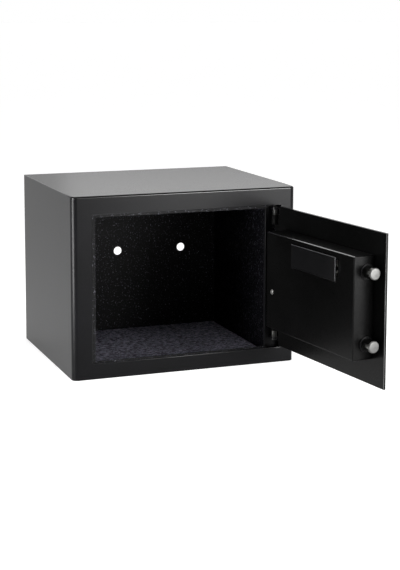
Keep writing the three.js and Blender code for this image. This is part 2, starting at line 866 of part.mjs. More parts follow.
function makeBatteryBay() {
  const outerX = [windowX[0] - bayWall, windowX[1] + bayWall];
  const outerZ = [windowZ[0] - bayWall, windowZ[1] + bayWall];
  const scoopZ = bayTop - scoopDrop;
  const dishFloor = coverFace - scoopDepth;
  const tray = join(
    block(outerX, [trayFloor, trayRim], outerZ),
    rod(scoopRadius + bayWall, [dishFloor - bayWall, trayRim], "y", [bayLeft, 0, scoopZ]),
  );
  const hollow = block(windowX, [trayInnerFloor, trayRim + overrun], windowZ);
  const dish = rod(scoopRadius, [dishFloor, trayRim + overrun], "y", [bayLeft, 0, scoopZ]);
  place(door, "battery_tray", cut(tray, hollow, dish), "blackPlastic");

  const nubRadius = 2.6;
  const nubLength = 1.2;
  const contactSheet = 0.8;
  const contactMargin = 2.5;
  const middleX = (windowX[0] + windowX[1]) / 2;
  const middleZ = (windowZ[0] + windowZ[1]) / 2;
  const rowOffset = cellRadius + cellPitchGap / 2;
  let number = 1;
  for (const rowSide of [-1, 1]) {
    for (const columnSide of [-1, 1]) {
      const z = middleZ + rowSide * rowOffset;
      const start = columnSide < 0 ? middleX - clearance - cellLength - nubLength : middleX + clearance;
      const profile = [
        [0, start],
        [cellRadius, start],
        [cellRadius, start + cellLength],
        [nubRadius, start + cellLength],
        [nubRadius, start + cellLength + nubLength],
        [0, start + cellLength + nubLength],
      ];
      place(door, "battery_" + number, turned(profile, "x", [0, cellY, z]), "cell");
      number += 1;
    }
  }
  const contactZ = [windowZ[0] + contactMargin, windowZ[1] - contactMargin];
  const contactY = [trayInnerFloor + clearance, cellY + cellRadius - contactMargin];
  const ends = {
    free: [windowX[0] + clearance, windowX[0] + clearance + contactSheet],
    hinge: [windowX[1] - clearance - contactSheet, windowX[1] - clearance],
  };
  for (const [name, span] of Object.entries(ends)) {
    place(door, "battery_contact_" + name, block(span, contactY, contactZ), "copper");
  }

  const coverChamfer = 0.7;
  const lid = softBlock(
    [bayLeft, bayRight],
    [coverFace + bayCoverProud - bayCoverThickness, coverFace + bayCoverProud],
    [bayBottom, bayTop],
    coverChamfer,
    1,
  );
  place(door, "battery_cover", lid, "blackPlastic");
}

function makeControlBoard() {
  const boardGap = 3;
  const boardMargin = 6;
  const boardOff = 3;
  const boardThickness = 1.6;
  const footSize = 5;
  const partDepth = 6;
  const switchDepth = 4.4;
  const switchSize = 6;
  const boardX = [armRight + boardGap, coverRight - boardMargin];
  const boardZ = [coverBottom + boardMargin, trayBottom - boardGap];
  const boardY = [coverFoot + boardOff, coverFoot + boardOff + boardThickness];
  const pieces = [];
  for (const x of [boardX[0], boardX[1] - footSize]) {
    for (const z of [boardZ[0], boardZ[1] - footSize]) {
      pieces.push(block([x, x + footSize], [coverFoot, boardY[1]], [z, z + footSize]));
    }
  }
  const chipShares = [
    [0.12, 0.42, 0.55, 0.8],
    [0.12, 0.5, 0.15, 0.3],
    [0.55, 0.7, 0.2, 0.45],
  ];
  const wide = boardX[1] - boardX[0];
  const tall = boardZ[1] - boardZ[0];
  for (const [left, right, low, high] of chipShares) {
    pieces.push(
      block(
        [boardX[0] + left * wide, boardX[0] + right * wide],
        [boardY[0], boardY[1] + partDepth],
        [boardZ[0] + low * tall, boardZ[0] + high * tall],
      ),
    );
  }
  pieces.push(
    block(
      [resetX - switchSize / 2, resetX + switchSize / 2],
      [boardY[0], boardY[1] + switchDepth],
      [resetZ - switchSize / 2, resetZ + switchSize / 2],
    ),
  );
  place(door, "control_board", join(block(boardX, boardY, boardZ), ...pieces), "board");

  const resetTravel = 1.5;
  const resetProud = 1.2;
  const headLength = 5;
  const stemRadius = 2;
  const domeSteps = 5;
  const top = coverFace + resetProud;
  const bottom = boardY[1] + switchDepth + resetTravel + clearance;
  const dome = [];
  for (let i = 0; i <= domeSteps; i += 1) {
    const angle = (i / domeSteps) * (Math.PI / 2);
    dome.push([resetRadius * Math.cos(angle), top - resetProud + resetProud * Math.sin(angle)]);
  }
  dome[domeSteps][0] = 0;
  const profile = [
    [0, bottom],
    [stemRadius, bottom],
    [stemRadius, top - headLength],
    [resetRadius, top - headLength],
    ...dome,
  ];
  place(door, "reset_button", turned(profile, "y", [resetX, 0, resetZ], smallSides), "palePlastic");
}

const ledRadius = 1.5;
const ledDrop = 11;
const shutterPivotRise = 14;
const shutterPinRadius = 1.8;

function makeKeypad() {
  const ledZ = panelTop - ledDrop;
  const pivotZ = cylinderZ + shutterPivotRise;
  const hollowX = [panelLeft + panelWall, panelRight - panelWall];
  const hollowZ = [panelBottom + panelWall, panelTop - panelWall];
  const shellY = [panelFace, panelBack + panelRadius];
  const body = softBlock([panelLeft, panelRight], shellY, [panelBottom, panelTop], panelRadius, 2);
  const trim = block(
    [panelLeft - overrun, panelRight + overrun],
    [panelBack, panelBack + panelRadius + overrun],
    [panelBottom - overrun, panelTop + overrun],
  );
  const hollow = block(hollowX, [panelFace + panelWall, panelBack + overrun], hollowZ);
  const faceThrough = [panelFace - overrun, panelFace + panelWall + overrun];
  const half = keySize / 2 + clearance;
  const cuts = keyGrid.map(({ x, z }) => block([x - half, x + half], faceThrough, [z - half, z + half]));
  for (let col = 0; col < keyColumns; col += 1) {
    cuts.push(rod(ledRadius + clearance, faceThrough, "y", [keyGrid[col].x, 0, ledZ], smallSides));
  }
  cuts.push(rod(cylinderRadius + clearance, faceThrough, "y", [knobX, 0, cylinderZ]));
  cuts.push(rod(guideHeadRadius, faceThrough, "y", [knobX, 0, knobZ]));
  cuts.push(rod(shutterPinRadius + clearance, faceThrough, "y", [knobX, 0, pivotZ], smallSides));
  place(door, "keypad_housing", cut(body, trim, hollow, ...cuts), "blackPlastic");

  const keyProud = 1.3;
  const keyDepth = 6.5;
  const keyRadius = 1;
  const keyBack = panelFace - keyProud + keyDepth;
  keyGrid.forEach(({ x, z }, index) => {
    const cap = softBlock(
      [x - keySize / 2, x + keySize / 2],
      [panelFace - keyProud, keyBack],
      [z - keySize / 2, z + keySize / 2],
      keyRadius,
      1,
    );
    place(door, "key_" + keyLabels[index], cap, "keyPlastic");
  });

  const boardThickness = 1.6;
  const boardEdge = 4;
  const boardFront = keyBack + keyTravel + clearance;
  const last = keyGrid[keyGrid.length - 1];
  const board = block(
    [hollowX[0] + clearance, last.x + keySize / 2 + boardEdge],
    [boardFront, boardFront + boardThickness],
    [last.z - keySize / 2 - boardEdge, hollowZ[1] - clearance],
  );
  const lenses = [];
  const lensReach = [panelFace, boardFront + boardThickness / 2];
  for (let col = 0; col < keyColumns; col += 1) {
    lenses.push(rod(ledRadius, lensReach, "y", [keyGrid[col].x, 0, ledZ], smallSides));
  }
  place(door, "keypad_board", join(board, ...lenses), "board");

  const ribbonEnd = armRight + boardEdge + ribbonWidth / 2;
  const ribbonTop = ribbonZ + ribbonWidth / 2;
  const ribbonBottom = ribbonZ - ribbonWidth / 2;
  const inner = coverFoot + ribbonThickness;
  const ribbon = join(
    block(
      [ribbonX, ribbonX + ribbonThickness],
      [boardFront + boardThickness + clearance, inner + ribbonThickness],
      [ribbonBottom, ribbonTop],
    ),
    block([ribbonX, ribbonEnd], [inner, inner + ribbonThickness], [ribbonBottom, ribbonTop]),
  );
  place(door, "ribbon_cable", ribbon, "palePlastic");
}

function makeKeyLock() {
  const plugRadius = 5.6;
  const flangeRadius = 10.5;
  const flangeThickness = 0.8;
  const barrelInside = 14;
  const slotWidth = 1.8;
  const slotHeight = 8;
  const slotDepth = 10;
  const camThickness = 2.5;
  const camReach = 18;
  const camHalfWidth = 4;
  const faceFront = panelFace - clearance - flangeThickness;
  const barrelEnd = plateInner + barrelInside;
  const bore = plugRadius + runningClearance;
  const profile = [
    [bore, faceFront],
    [flangeRadius, faceFront],
    [flangeRadius, faceFront + flangeThickness],
    [cylinderRadius, faceFront + flangeThickness],
    [cylinderRadius, barrelEnd],
    [bore, barrelEnd],
    [bore, faceFront],
  ];
  place(door, "lock_cylinder", turned(profile, "y", [knobX, 0, cylinderZ]), "chrome");

  const camFront = barrelEnd + clearance;
  const plug = join(
    rod(plugRadius, [faceFront, camFront + camThickness], "y", [knobX, 0, cylinderZ]),
    block(
      [knobX - camHalfWidth, knobX + camHalfWidth],
      [camFront, camFront + camThickness],
      [cylinderZ - camReach, cylinderZ],
    ),
  );
  const keyway = block(
    [knobX - slotWidth / 2, knobX + slotWidth / 2],
    [faceFront - overrun, faceFront + slotDepth],
    [cylinderZ - slotHeight / 2, cylinderZ + slotHeight / 2],
  );
  place(door, "lock_plug", cut(plug, keyway), "brass");

  const shutterThickness = 1.5;
  const shutterGap = 0.4;
  const shutterRadius = 11;
  const earRadius = 4;
  const rivetHead = 0.8;
  const rivetTail = 2.5;
  const pivotZ = cylinderZ + shutterPivotRise;
  const shutterBack = faceFront - shutterGap;
  const shutterFront = shutterBack - shutterThickness;
  const rivetEnds = [shutterFront - rivetHead, panelFace + panelWall + rivetTail];
  const shutter = join(
    rod(shutterRadius, [shutterFront, shutterBack], "y", [knobX, 0, cylinderZ]),
    rod(earRadius, [shutterFront, shutterBack], "y", [knobX, 0, pivotZ], smallSides),
    block([knobX - earRadius, knobX + earRadius], [shutterFront, shutterBack], [cylinderZ, pivotZ]),
    rod(shutterPinRadius, rivetEnds, "y", [knobX, 0, pivotZ], smallSides),
  );
  place(door, "keyhole_shutter", shutter, "chrome");
}

makeDoorPlate();
makeKnuckles();
makeLockCover();
makeCoverFixings();
makeBoltBushes();
makeBoltCarrier();
makeBolts();
makeGuidePins();
makeKnob();
makeSolenoid();
makeBatteryBay();
makeControlBoard();
makeKeypad();
makeKeyLock();

export default safe;
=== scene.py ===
"""A small steel safe with an electronic lock, standing with its door open.

Lengths are in millimetres until a mesh is made, which is in metres.
Pieces on the door are worked out in the door's closed place and then swung open.
"""

import json
from math import cos, pi, radians, sin

import bmesh
import bpy
import numpy as np
from mathutils import Matrix, Vector

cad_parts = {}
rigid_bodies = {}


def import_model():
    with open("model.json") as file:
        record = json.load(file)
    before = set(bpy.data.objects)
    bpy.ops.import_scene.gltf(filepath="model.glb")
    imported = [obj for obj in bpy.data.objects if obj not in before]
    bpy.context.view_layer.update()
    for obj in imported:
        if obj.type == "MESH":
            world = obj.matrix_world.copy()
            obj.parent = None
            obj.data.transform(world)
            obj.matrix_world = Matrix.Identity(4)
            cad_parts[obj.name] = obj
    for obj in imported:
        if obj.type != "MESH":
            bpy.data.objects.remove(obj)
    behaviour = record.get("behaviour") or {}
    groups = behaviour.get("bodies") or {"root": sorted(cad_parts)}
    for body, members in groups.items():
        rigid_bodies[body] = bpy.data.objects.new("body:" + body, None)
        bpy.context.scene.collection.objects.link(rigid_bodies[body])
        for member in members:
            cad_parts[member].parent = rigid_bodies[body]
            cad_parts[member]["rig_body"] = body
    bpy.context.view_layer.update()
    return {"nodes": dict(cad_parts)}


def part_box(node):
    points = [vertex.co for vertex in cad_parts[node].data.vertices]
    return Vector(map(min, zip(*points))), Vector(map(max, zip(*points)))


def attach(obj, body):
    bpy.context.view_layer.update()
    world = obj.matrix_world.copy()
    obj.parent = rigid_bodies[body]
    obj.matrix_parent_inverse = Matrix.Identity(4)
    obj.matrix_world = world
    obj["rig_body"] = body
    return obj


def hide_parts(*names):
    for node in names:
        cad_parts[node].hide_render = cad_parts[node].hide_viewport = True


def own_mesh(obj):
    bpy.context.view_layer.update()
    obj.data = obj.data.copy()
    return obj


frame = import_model()
scene = bpy.context.scene
MM = 0.001

# Body, in millimetres
HALF_WIDTH, FRONT, BACK, BODY_HEIGHT = 162.5, -130.0, 130.0, 250.0
SHEET, CORNER_RADIUS, ROOF_BEND = 2.0, 8.0, 2.4
MAT_X, MAT_Y, MAT_Z = (-159.0, 140.5), (-114.47, 126.5), (2.0, 4.5)

# Hinge and door, in the door's closed place
HINGE_X, HINGE_Y, DOOR_ANGLE = 134.2, -125.0, radians(96.6)
PIN_RADIUS, PIN_HEAD_RADIUS, PIN_HEAD, PIN_BORE = 3.0, 4.0, 1.2, 3.15
PLATE_INNER = -127.0
COVER_LEFT, COVER_FACE = -107.0, -97.0
LID_X, LID_Y, LID_Z, LID_EDGE = (-65.0, 42.5), (-98.8, -96.0), (153.7, 185.0), 0.7

# Bolts and what drives them
BOLT_Y, BOLT_RADIUS, BOLT_BORE = -116.5, 8.0, 8.15
BOLT_Z = {"upper": 172.0, "lower": 79.0}
GUIDE_PLACE = {"upper": (-17.0, 116.1), "lower": (-52.0, 90.1)}
SOLENOID_X, SOLENOID_Y = 4.0, -120.7
CELL_RADIUS, CELL_LENGTH, POLE_RADIUS, POLE_LENGTH = 7.1, 49.5, 2.6, 1.2

# Panel on the outside of the door
PANEL_FACE, LED_Z = -142.3, 163.1
CYLINDER_X, CYLINDER_Z = 32.0, 140.1
KEY_X = (-44.0, -26.0, -8.0)
KEY_Z = (145.1, 127.1, 109.1, 91.1)
KEY_SIZE, KEY_PROUD, KEY_DEPTH, KEY_EDGE = 13.0, 1.3, 6.5, 1.2
DISH_RADIUS, DISH_DEPTH = 5.5, 0.35
SIGN_SIZE, INK_DEPTH, INK_LIFT = 8.5, 0.02, 0.03

# Camera, in metres and degrees, and the level direction that it looks in
CAMERA_PLACE = (-0.65829, -1.90276, 0.5076)
CAMERA_YAW, CAMERA_PITCH, CAMERA_ROLL = 20.919, 7.483, 0.127
AWAY = (0.357, 0.934, 0)


# Camera and light
def look(position, yaw, pitch, roll):
    """Axes of a camera: forward from yaw and pitch, then right and up turned by roll about it."""
    forward = Vector((sin(yaw) * cos(pitch), cos(yaw) * cos(pitch), -sin(pitch)))
    right = Vector((cos(yaw), -sin(yaw), 0))
    up = right.cross(forward)
    right, up = cos(roll) * right + sin(roll) * up, -sin(roll) * right + cos(roll) * up
    turn = Matrix((right, up, -forward)).transposed()
    return Matrix.Translation(Vector(position)) @ turn.to_4x4()


def make_camera():
    """A long lens in front of the safe and to its left, with its frame shifted down."""
    data = bpy.data.cameras.new("camera")
    data.sensor_width = 36
    data.lens = 88.546
    data.shift_y = -0.1754
    data.clip_end = 50
    camera = bpy.data.objects.new("camera", data)
    camera.matrix_world = look(CAMERA_PLACE, *map(radians, (CAMERA_YAW, CAMERA_PITCH, CAMERA_ROLL)))
    scene.collection.objects.link(camera)
    scene.camera = camera
    scene.view_settings.view_transform = "Standard"


def softbox(name, place, aim, width, height, power, spread=180):
    """A rectangular light at place that faces aim; a honeycomb grid narrows its spread, in degrees."""
    data = bpy.data.lights.new(name, "AREA")
    data.shape = "RECTANGLE"
    data.size, data.size_y = width, height
    data.energy = power
    data.spread = radians(spread)
    lamp = bpy.data.objects.new(name, data)
    turn = (Vector(aim) - Vector(place)).to_track_quat("-Z", "Y")
    lamp.matrix_world = Matrix.Translation(place) @ turn.to_matrix().to_4x4()
    lamp.visible_camera = False
    scene.collection.objects.link(lamp)


def make_lights():
    """A gridded light on the left wall, two in front, one behind for the roof and one overhead."""
    left, left_wall = (-0.6, -0.25, 0.13), (-0.16, -0.125, 0.13)
    softbox("softbox_left", left, left_wall, width=0.3, height=0.24, power=0.92, spread=46)
    softbox("softbox_front", (-0.3, -2.0, 2.2), (0, -0.1, 0.1), width=1.2, height=1.0, power=12)
    softbox("softbox_low", (0.71, -1.35, 0.29), (0.71, 0, 0.29), width=0.78, height=0.5, power=26)
    softbox("softbox_behind", (0.45, 0.5, 0.63), (0.2, -0.1, 0.3), width=0.9, height=0.54, power=1.8)
    softbox("softbox_over", (-0.1, -0.2, 1.4), (0, -0.15, 0.1), width=0.5, height=0.3, power=9)


make_camera()
make_lights()


# Nodes and finishes
def linear(code):
    """An sRGB hex colour as linear red, green, blue and alpha."""
    value = np.array([int(code[i : i + 2], 16) for i in (1, 3, 5)]) / 255
    value = np.where(value <= 0.04045, value / 12.92, ((value + 0.055) / 1.055) ** 2.4)
    return (*map(float, value), 1.0)


def add(tree, kind, inputs=None, **settings):
    """One node with its settings; each input is a value or another node's output."""
    node = tree.nodes.new(kind)
    for key, value in settings.items():
        setattr(node, key, value)
    for socket, value in (inputs or {}).items():
        if isinstance(value, bpy.types.NodeSocket):
            tree.links.new(value, node.inputs[socket])
        else:
            node.inputs[socket].default_value = value
    return node


def begin(name, **constants):
    """A material with one shader, whose constants sit on its own sockets, and object coordinates."""
    material = bpy.data.materials.new(name)
    material.use_nodes = True
    tree = material.node_tree
    tree.nodes.clear()
    shader = add(tree, "ShaderNodeBsdfPrincipled", {k.replace("_", " "): v for k, v in constants.items()})
    add(tree, "ShaderNodeOutputMaterial", {"Surface": shader.outputs["BSDF"]})
    where = add(tree, "ShaderNodeTexCoord")
    return material, tree, shader, where


def grain(tree, vector, size, detail=3.0, rough=0.6, stretch=(1, 1, 1)):
    """Noise with features size millimetres across, drawn out along an axis where stretch is below 1."""
    scale = tuple(share / (size * MM) for share in stretch)
    mapped = add(tree, "ShaderNodeMapping", {"Vector": vector, "Scale": scale}).outputs["Vector"]
    inputs = {"Vector": mapped, "Scale": 1.0, "Detail": detail, "Roughness": rough}
    return add(tree, "ShaderNodeTexNoise", inputs).outputs["Fac"]


def tinted(tree, factor, low, high, into, start=0.35, stop=0.65):
    """Colour that runs from low to high as the factor passes from start to stop."""
    span = {"Value": factor, "From Min": start, "From Max": stop}
    share = add(tree, "ShaderNodeMapRange", span).outputs["Result"]
    ends = {"Factor": share, "A": linear(low), "B": linear(high)}
    mixed = add(tree, "ShaderNodeMix", ends, data_type="RGBA")
    tree.links.new(mixed.outputs["Result"], into)


def ranged(tree, factor, low, high, into, start=0.3, stop=0.7):
    """A number that runs from low to high as the factor passes from start to stop."""
    span = {"Value": factor, "From Min": start, "From Max": stop, "To Min": low, "To Max": high}
    between = add(tree, "ShaderNodeMapRange", span)
    tree.links.new(between.outputs["Result"], into)


def embossed(tree, shader, height, depth, under=None):
    """Raises the surface by height times depth millimetres, over any earlier relief."""
    inputs = {"Height": height, "Distance": depth * MM, "Strength": 1.0}
    if under is not None:
        inputs["Normal"] = under
    bump = add(tree, "ShaderNodeBump", inputs).outputs["Normal"]
    tree.links.new(bump, shader.inputs["Normal"])
    return bump


def make_powder_coat(name, low, high, rough, grit, level, ior=1.5):
    """Polyester powder coat, sprayed and baked: satin, with a slow orange peel and a fine grit."""
    material, tree, shader, where = begin(name, IOR=ior, Specular_IOR_Level=level)
    at = where.outputs["Object"]
    peel = grain(tree, at, size=4.0, detail=2.0)
    # The real grit is about 0.4 mm, drawn at 1.3 mm so that it shows
    fine = grain(tree, at, size=1.3, detail=4.0, rough=0.7)
    cloud = grain(tree, at, size=60.0)
    tinted(tree, cloud, low, high, shader.inputs["Base Color"])
    ranged(tree, fine, rough - 0.05, rough + 0.07, shader.inputs["Roughness"])
    peeled = embossed(tree, shader, peel, depth=0.03)
    embossed(tree, shader, fine, grit, under=peeled)
    return material


def make_textured_coat(name, level):
    """Textured coat inside the body: matt black, wrinkled into grains whose tops catch a grey fleck."""
    material, tree, shader, where = begin(name, IOR=1.5, Specular_IOR_Level=level)
    # The real grains are about 0.5 mm, drawn at 2.2 mm so that they show
    wrinkle = grain(tree, where.outputs["Object"], size=2.2)
    tinted(tree, wrinkle, "#010102", "#6c6c76", shader.inputs["Base Color"], start=0.6, stop=0.76)
    ranged(tree, wrinkle, low=0.6, high=0.35, into=shader.inputs["Roughness"])
    embossed(tree, shader, wrinkle, depth=0.5)
    return material


def make_plated(name, low, high, rough, size, depth, stretch=(1, 1, 1)):
    """Plated steel: metal whose sheen is broken by faint drawn or tumbled marks."""
    material, tree, shader, where = begin(name, Metallic=1.0)
    marks = grain(tree, where.outputs["Object"], size, detail=4.0, rough=0.65, stretch=stretch)
    stain = grain(tree, where.outputs["Object"], size=14.0)
    tinted(tree, stain, low, high, shader.inputs["Base Color"])
    ranged(tree, marks, rough - 0.06, rough + 0.1, shader.inputs["Roughness"])
    embossed(tree, shader, marks, depth)
    return material


def make_turned_steel(name, low, high, rough, pitch):
    """Bright plated steel turned on a lathe: fine rings that follow the profile, by the piece's own map."""
    material, tree, shader, where = begin(name, Metallic=1.0)
    rings = grain(tree, where.outputs["UV"], pitch, detail=2.0, rough=0.5, stretch=(0.02, 1, 1))
    stain = grain(tree, where.outputs["Object"], size=9.0)
    tinted(tree, stain, low, high, shader.inputs["Base Color"])
    ranged(tree, rings, rough - 0.05, rough + 0.12, shader.inputs["Roughness"])
    embossed(tree, shader, rings, depth=0.008)
    return material


def make_plastic(name, low, high, rough, size, depth, coat=0.0, level=0.5):
    """Moulded plastic with the fine spark-eroded grain of its tool."""
    material, tree, shader, where = begin(name, IOR=1.53, Coat_Weight=coat, Specular_IOR_Level=level)
    fine = grain(tree, where.outputs["Object"], size)
    cloud = grain(tree, where.outputs["Object"], size=35.0, detail=2.0)
    tinted(tree, cloud, low, high, shader.inputs["Base Color"])
    ranged(tree, fine, rough - 0.06, rough + 0.08, shader.inputs["Roughness"])
    embossed(tree, shader, fine, depth)
    return material


def make_felt(name):
    """Needle-punched polyester felt: matted dark fibres with a lavender-grey fleck and a dull bloom."""
    material, tree, shader, where = begin(
        name, Roughness=0.95, Sheen_Weight=0.35, Sheen_Roughness=0.6, Sheen_Tint=linear("#6a6878"), IOR=1.45
    )
    at = where.outputs["Object"]
    # Fibres are 0.03 mm thick and tufts 1 to 2 mm, drawn at 2.6 mm so that they show
    tufts = grain(tree, at, size=2.6, detail=6.0, rough=0.75)
    strands = grain(tree, at, size=3.6, stretch=(0.5, 1.4, 1))
    both = add(tree, "ShaderNodeMath", {0: tufts, 1: strands}, operation="MULTIPLY").outputs["Value"]
    tinted(tree, both, "#060608", "#9c9aaa", shader.inputs["Base Color"], start=0.2, stop=0.34)
    matted = embossed(tree, shader, tufts, depth=0.9)
    embossed(tree, shader, strands, depth=0.5, under=matted)
    return material


def make_board(name):
    """Epoxy-glass circuit board: green solder mask with fine straight tracks under it."""
    material, tree, shader, where = begin(name, Roughness=0.35, IOR=1.55, Coat_Weight=0.3)
    # Tracks are the joints between the rows of a brick pattern, whose rows are a quarter of its unit high
    track_gap, row_share = 1.5, 0.25
    mask = {"Color1": linear("#15482c"), "Color2": linear("#184f31"), "Mortar": linear("#2a7146")}
    layout = {"Vector": where.outputs["Object"], "Scale": row_share / (track_gap * MM), "Mortar Size": 0.06}
    tracks = add(tree, "ShaderNodeTexBrick", layout | mask)
    tree.links.new(tracks.outputs["Color"], shader.inputs["Base Color"])
    embossed(tree, shader, tracks.outputs["Fac"], depth=0.03)
    return material


def make_ribbon(name):
    """Flat ribbon cable: pale vinyl pulled over parallel wires, which ripple it."""
    material, tree, shader, where = begin(name, Roughness=0.4, IOR=1.53)
    # Real wires are about 1.3 mm apart, drawn as wider ripples; one ripple is pi / 10 of the pattern's unit
    ripple = 6.3675
    layout = {"Vector": where.outputs["Object"], "Scale": pi / 10 / (ripple * MM), "Distortion": 0.0}
    wires = add(tree, "ShaderNodeTexWave", layout, bands_direction="Z").outputs["Fac"]
    tinted(tree, wires, "#a9aaac", "#cfd0d0", shader.inputs["Base Color"])
    embossed(tree, shader, wires, depth=0.25)
    return material


def make_glow_lens(name, low, high):
    """Clear-tinted epoxy of an unlit indicator lamp."""
    material, tree, shader, where = begin(name, Roughness=0.12, IOR=1.54, Coat_Weight=0.5)
    tinted(tree, grain(tree, where.outputs["Object"], size=2.0), low, high, shader.inputs["Base Color"])
    return material


DRAWN_X, DRAWN_Y, DRAWN_Z = (0.1, 1, 1), (1, 0.1, 1), (1, 1, 0.1)
FINISH = {
    "body_coat": make_powder_coat(
        "powder_coat_black_satin", "#060607", "#08080a", rough=0.3, grit=0.015, level=0.09
    ),
    "inner_coat": make_textured_coat("powder_coat_black_textured", level=0.12),
    # Less reflective copy of the inside coat, so that the side liner stays as dark as the back wall: painted
    # shade
    "liner_coat": make_textured_coat("powder_coat_black_textured_liner", level=0.04),
    "door_coat": make_powder_coat(
        "powder_coat_black_door", "#040404", "#060606", rough=0.3, grit=0.02, level=0.09
    ),
    # Lighter, shinier copy of the satin coat for the body's rounded edges: a painted highlight
    "painted_highlight_coat": make_powder_coat(
        "powder_coat_painted_edge_highlight", "#0e0e0f", "#161617", rough=0.2, grit=0.01, level=0.5
    ),
    # Lighter, glinting copy of the door coat for door edges and bends: a painted highlight
    "painted_glint_coat": make_powder_coat(
        "powder_coat_painted_edge_glint", "#141415", "#1d1d1f", rough=0.2, grit=0.01, level=0.8, ior=1.9
    ),
    # Dull, barely reflective black: painted shade on the roof bend's upper part and the cover's lower bends,
    # and the hinge knuckles' matt coat, which also stands in for their shade
    "matt_painted_shade_coat": make_powder_coat(
        "powder_coat_black_matt_painted_shade", "#030303", "#050505", rough=0.6, grit=0.02, level=0.03
    ),
    "zinc": make_plated("zinc_plated_steel", "#8d8d8a", "#a9a9a5", rough=0.38, size=1.2, depth=0.01),
    "oiled": make_plated("oiled_dark_steel", "#262625", "#333332", rough=0.42, size=1.2, depth=0.01),
    "turned": make_turned_steel("nickel_plated_turned_steel", "#565655", "#60605f", rough=0.4, pitch=0.5),
    "polished": make_plated(
        "nickel_plated_polished_steel", "#666664", "#72726f",
        rough=0.14, size=3.0, depth=0.004, stretch=DRAWN_Y,
    ),
    "chrome": make_plated("chrome_plated_steel", "#8a8b8d", "#97989b", rough=0.24, size=3.0, depth=0.004),
    "felt": make_felt("needle_felt"),
    "black_abs": make_plastic(
        "moulded_abs_black", "#070708", "#0a0a0b", rough=0.36, size=0.9, depth=0.01, level=0.15
    ),
    # Lighter, shinier copy of the black plastic for the lid's edges: a painted highlight
    "painted_highlight_abs": make_plastic(
        "moulded_abs_painted_edge_highlight", "#3a3a3d", "#4a4a4d", rough=0.2, size=0.9, depth=0.005
    ),
    "pale_abs": make_plastic("moulded_abs_grey", "#50504e", "#5c5c5a", rough=0.22, size=0.9, depth=0.01),
    "rubber": make_plastic("moulded_silicone_rubber", "#1b1b1d", "#232326", rough=0.6, size=0.7, depth=0.02),
    "ink": make_plastic("printed_ink_white", "#d9d9d4", "#e6e6e2", rough=0.5, size=0.5, depth=0.004),
    "sleeve": make_plastic(
        "shrunk_vinyl_sleeve_black", "#121315", "#1a1b1e", rough=0.28, size=2.5, depth=0.01, coat=0.4
    ),
    "brass": make_plated(
        "machined_brass", "#a8853f", "#bd9a55", rough=0.25, size=0.8, depth=0.006, stretch=DRAWN_X
    ),
    "bronze": make_plated(
        "phosphor_bronze_strip", "#8f5a38", "#a66c46", rough=0.3, size=1.5, depth=0.008, stretch=DRAWN_Z
    ),
    "board": make_board("epoxy_glass_board"),
    "chips": make_plastic("moulded_epoxy_black", "#0f0f10", "#171718", rough=0.5, size=0.6, depth=0.01),
    "ribbon": make_ribbon("vinyl_ribbon_cable"),
    "lens_green": make_glow_lens("tinted_epoxy_green", "#1d6b35", "#2c8a4a"),
    "lens_amber": make_glow_lens("tinted_epoxy_amber", "#9a6a12", "#b9822a"),
    "lens_red": make_glow_lens("tinted_epoxy_red", "#7c1515", "#9a2222"),
}


# Surfaces
def swung(points):
    """Points in the door's closed place, turned about the hinge pins to where the open door holds them."""
    points = np.asarray(points, float)
    x, y = points[:, 0] - HINGE_X, points[:, 1] - HINGE_Y
    c, s = cos(DOOR_ANGLE), sin(DOOR_ANGLE)
    return np.column_stack((HINGE_X + x * c - y * s, HINGE_Y + x * s + y * c, points[:, 2]))


def closed(point):
    """A point of the open door, turned back to its place on the closed door."""
    x, y = point[0] - HINGE_X, point[1] - HINGE_Y
    c, s = cos(DOOR_ANGLE), sin(DOOR_ANGLE)
    return Vector((HINGE_X + x * c + y * s, HINGE_Y - x * s + y * c, point[2]))


def shape(name, points, faces, finishes, body, nodes=(), face_finish=None, uv=None):
    """A named piece from points in millimetres and faces, riding on a body and standing for its nodes.

    Points that a pole or a seam doubles are merged, and every face is turned outwards."""
    mesh = bpy.data.meshes.new(name)
    mesh.from_pydata((np.asarray(points) * MM).tolist(), [], faces)
    for finish in finishes:
        mesh.materials.append(FINISH[finish])
    if face_finish is not None:
        mesh.polygons.foreach_set("material_index", np.asarray(face_finish, np.int32))
    if uv is not None:
        layer = mesh.uv_layers.new(name="along_profile")
        layer.data.foreach_set("uv", np.asarray(uv, np.float32).ravel())
    mesh.polygons.foreach_set("use_smooth", np.ones(len(mesh.polygons), bool))
    corner_angle, touching = radians(40), 1e-6
    work = bmesh.new()
    work.from_mesh(mesh)
    bmesh.ops.remove_doubles(work, verts=work.verts, dist=touching)
    bmesh.ops.recalc_face_normals(work, faces=work.faces)
    work.to_mesh(mesh)
    work.free()
    mesh.set_sharp_from_angle(angle=corner_angle)
    piece = bpy.data.objects.new(name, mesh)
    scene.collection.objects.link(piece)
    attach(piece, body)
    if nodes:
        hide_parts(*nodes)
    return piece


def rod(*steps):
    """Profile of a stepped rod: each step is a radius and the two places along the axis that it joins."""
    profile = [(0, steps[0][1])]
    for radius, low, high in steps:
        profile += [(radius, low), (radius, high)]
    return profile + [(0, steps[-1][2])]


def tube(bore, *steps, seam):
    """Closed profile of a stepped tube, which starts and ends in its bore, seam past its first end."""
    start = (bore, steps[0][1] + seam)
    return [start, (bore, steps[0][1])] + rod(*steps)[1:-1] + [(bore, steps[-1][2]), start]


def dome(radius, rim, rise, steps):
    """Profile of a quarter ellipse from the rim, radius off the axis, to the top, rise along the axis."""
    angles = np.linspace(0, pi / 2, steps)[:-1]
    return [(radius * cos(angle), rim + rise * sin(angle)) for angle in angles] + [(0, rim + rise)]


